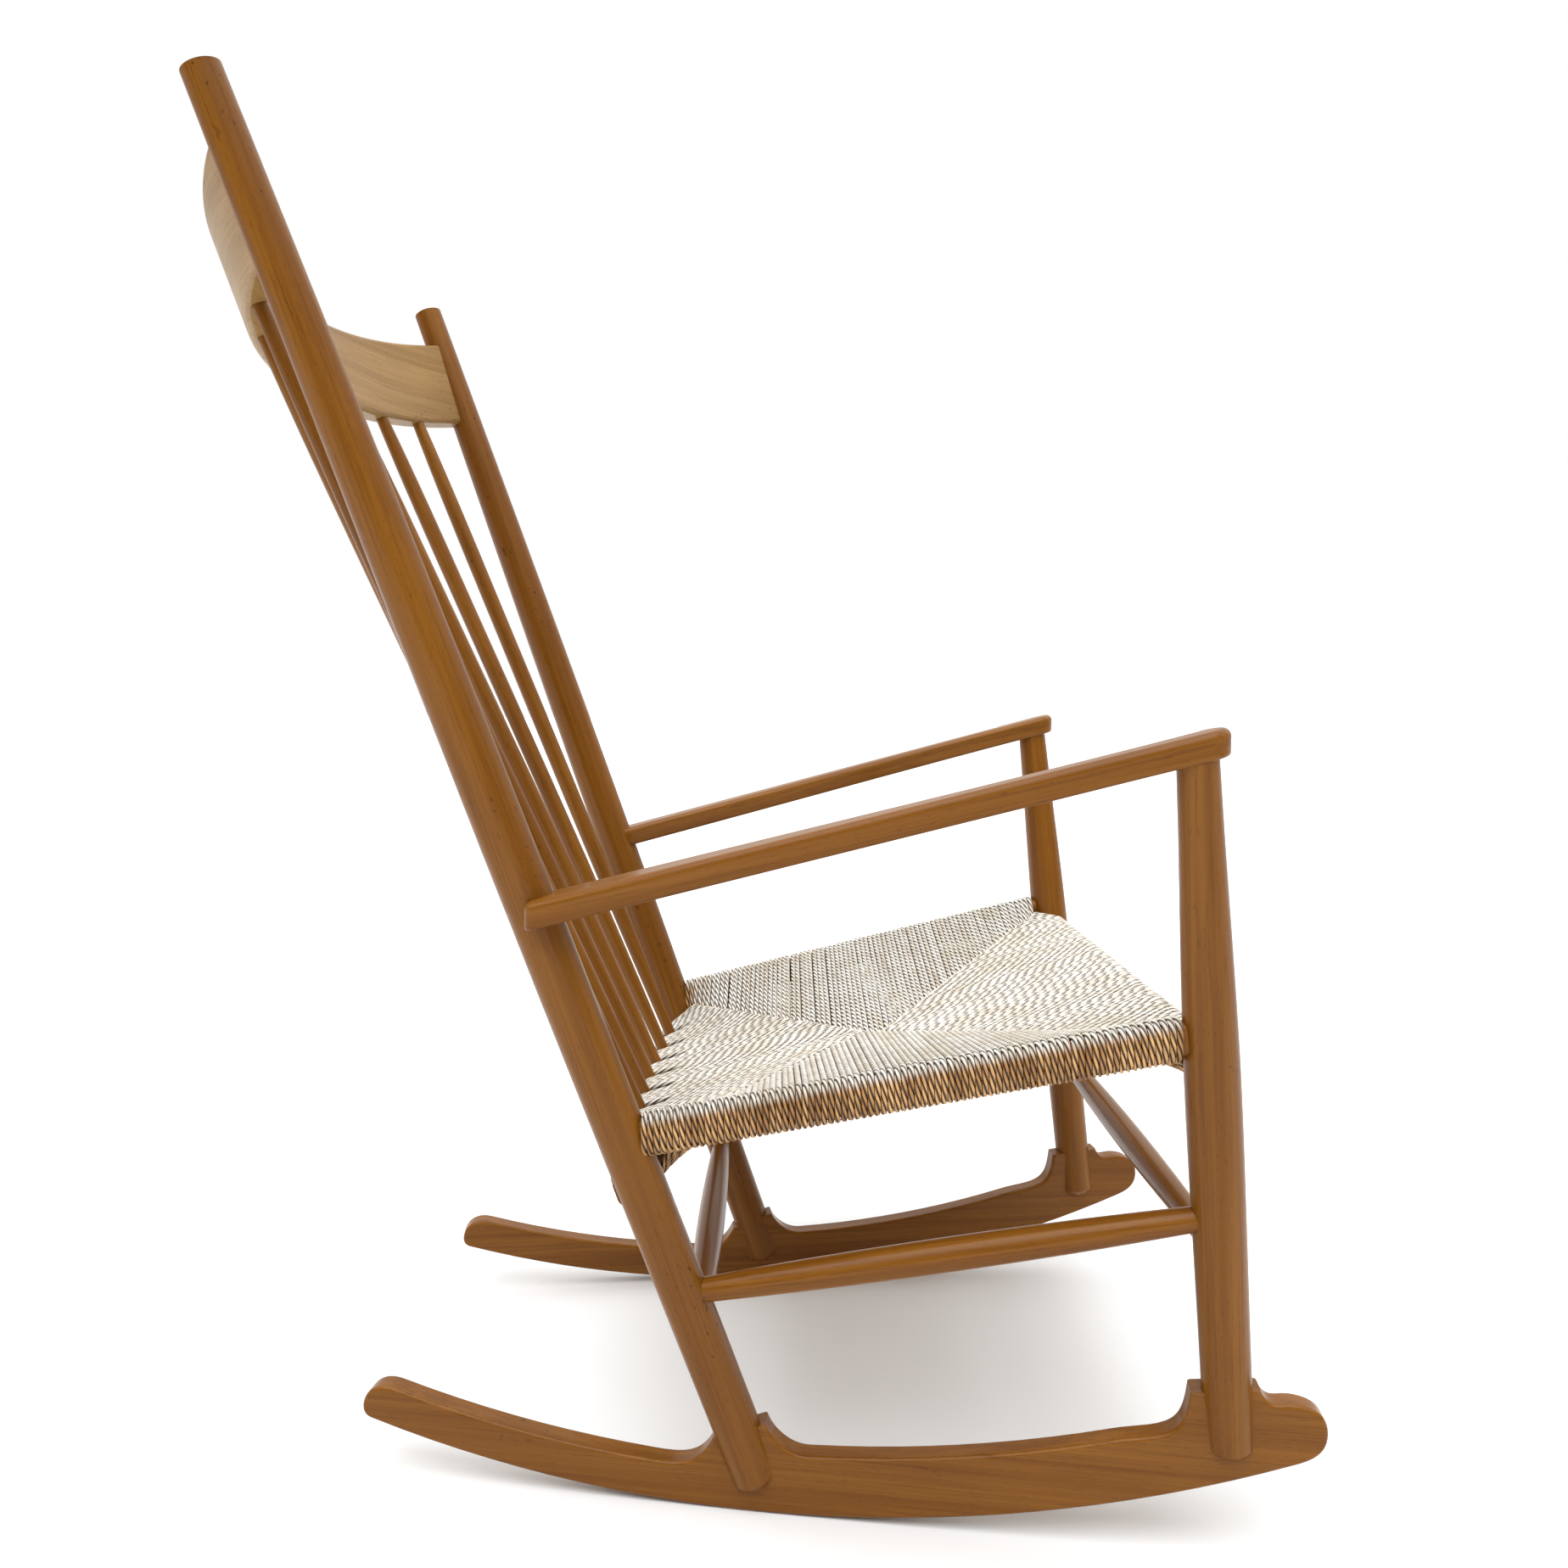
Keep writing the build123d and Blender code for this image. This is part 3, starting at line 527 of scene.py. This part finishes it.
def cordMaterial():
    material, start = newMaterial("paper_cord")
    tone = start.attribute("tone")
    # painted light: where the cord faces up, its colour turns to the paler, whiter top colours
    top = start.attribute("top").between(*straw["paintedLightEdge"])
    place = start.node("ShaderNodeCombineXYZ", {}, {
        "X": start.attribute("along") * straw["creaseAlong"],
        "Y": start.attribute("round") * straw["creaseRound"],
        "Z": tone * straw["creaseApart"]})
    creases = place.noise(1.0, straw["creaseDetail"], straw["creaseRoughness"])
    patches = start.objectPlace().noise(straw["patches"])
    warm = (tone * straw["toneShare"] + patches * straw["patchShare"]).between(*straw["warmEdge"])
    sideColour = warm.blend(straw["paleSide"], straw["warmSide"])
    paintedLightTopColour = warm.blend(straw["paleTopPaintedLight"], straw["warmTopPaintedLight"])
    creased = creases.between(*straw["creaseEdge"]) * (
        straw["creaseShare"] - top * straw["creaseLessOnTop"])
    # painted shade in the valleys between the strands
    paintedGrooveShade = start.attribute("groove").between(*straw["grooveEdge"]) * (
        straw["grooveShare"] - top * straw["grooveLessOnTop"])
    # the painted light and painted sheen on top of the seat
    body = top.blend(sideColour, paintedLightTopColour)
    body = creased.blend(body, straw["crease"])
    body = paintedGrooveShade.blend(body, straw["groove"])
    bump = start.node("ShaderNodeBump", {}, {
        "Strength": straw["relief"], "Distance": straw["reliefDepth"], "Height": creases})
    shader = start.node("ShaderNodeBsdfPrincipled", {}, {
        "Base Color": body, "Roughness": straw["roughness"], "Normal": bump, "IOR": straw["ior"]})
    finishMaterial(start, shader)
    return material


def weaveSeat():
    cord = cordMaterial()
    fields = {"right": sideLoops(-1), "left": sideLoops(1), "front": frontLoops(), "rear": rearLoops()}
    for number, (field, loops) in enumerate(fields.items()):
        half = len(loops) // 2
        for part, share in (("a", loops[:half]), ("b", loops[half:])):
            name = "seat_cord_" + field + "_" + part
            piece = twistedCords(name, share, weave["cordSeed"] + number)
            piece.data.materials.append(cord)


studio = {
    "floorSize": 60.0,
    "floorPale": (0.784, 0.808, 0.840, 1),
    "floorPaler": (0.7938, 0.8181, 0.8505, 1),
    "floorPatches": 3.0,  # a metre
    "floorEdge": (0.2, 0.8),
    "floorRoughness": 0.9,
    "floorSpecular": 0.1,
    "sun": 1.9,
    "sunSpread": 55.0,  # degrees, wide for a soft shadow
    "sunTilt": (22.0, -4.0),  # degrees
    "room": (0.24, 0.16, 0.09, 1),  # the warm, dimmer side of the room
    "backdrop": (0.93, 0.91, 0.88, 1),
    "backdropEdge": (-0.6, 0.5),
    "above": (1.84, 1.80, 1.72, 1),
    "aboveEdge": (0.2, 0.9),
}
lookout = {"place": (0.0, -1.1837, 0.6504), "yaw": 0.16, "pitch": -3.97, "lens": 29.074, "sensor": 36.0}


def makeWorld():
    world = bpy.data.worlds.new("studio")
    world.use_nodes = True
    world.node_tree.nodes.clear()
    start = Wire(world.node_tree)
    heading = start.node("ShaderNodeTexCoord", {}, {})
    across = start.node("ShaderNodeSeparateXYZ", {}, {"Vector": heading}, 1)
    rising = start.node("ShaderNodeSeparateXYZ", {}, {"Vector": heading}, 2)
    light = across.between(*studio["backdropEdge"]).blend(studio["room"], studio["backdrop"])
    light = rising.between(*studio["aboveEdge"]).blend(light, studio["above"])
    seen = start.node("ShaderNodeLightPath", {}, {}, 0)
    plain = seen.blend(light, (1, 1, 1, 1))  # the backdrop itself is plain white
    sky = start.node("ShaderNodeBackground", {}, {"Color": plain, "Strength": 1.0})
    end = world.node_tree.nodes.new("ShaderNodeOutputWorld")
    world.node_tree.links.new(sky.socket, end.inputs["Surface"])
    bpy.context.scene.world = world


def makeStudio():
    bpy.ops.object.select_all(action="DESELECT")
    bpy.ops.mesh.primitive_plane_add(size=studio["floorSize"], location=(0, 0, 0))
    floor = bpy.context.object
    floor.name = "floor"
    material, start = newMaterial("pale_floor")
    patches = start.objectPlace().noise(studio["floorPatches"]).between(*studio["floorEdge"])
    shader = start.node("ShaderNodeBsdfPrincipled", {}, {
        "Base Color": patches.blend(studio["floorPale"], studio["floorPaler"]),
        "Roughness": studio["floorRoughness"],
        "Specular IOR Level": studio["floorSpecular"]})
    finishMaterial(start, shader)
    floor.data.materials.append(material)
    bpy.ops.object.light_add(type="SUN", location=(0, 0, 3))
    lamp = bpy.context.object
    lamp.name = "soft_top_light"
    lamp.data.angle = math.radians(studio["sunSpread"])
    lamp.data.energy = studio["sun"]
    lamp.rotation_euler = [math.radians(tilt) for tilt in studio["sunTilt"]] + [0]
    makeWorld()
    bpy.context.scene.view_settings.view_transform = "Standard"
    print("studio ready: floor, one soft lamp and the room's light")


def makeCamera():
    lens = bpy.data.cameras.new("camera")
    lens.lens, lens.sensor_width, lens.sensor_fit = lookout["lens"], lookout["sensor"], "AUTO"
    camera = bpy.data.objects.new("camera", lens)
    bpy.context.scene.collection.objects.link(camera)
    turn = (Matrix.Rotation(math.radians(-lookout["yaw"]), 4, "Z")
            @ Matrix.Rotation(math.radians(90 + lookout["pitch"]), 4, "X"))
    camera.matrix_world = stand @ Matrix.Translation(lookout["place"]) @ turn
    bpy.context.scene.camera = camera
    print("camera set")


dressWood()
weaveSeat()
makeStudio()
makeCamera()
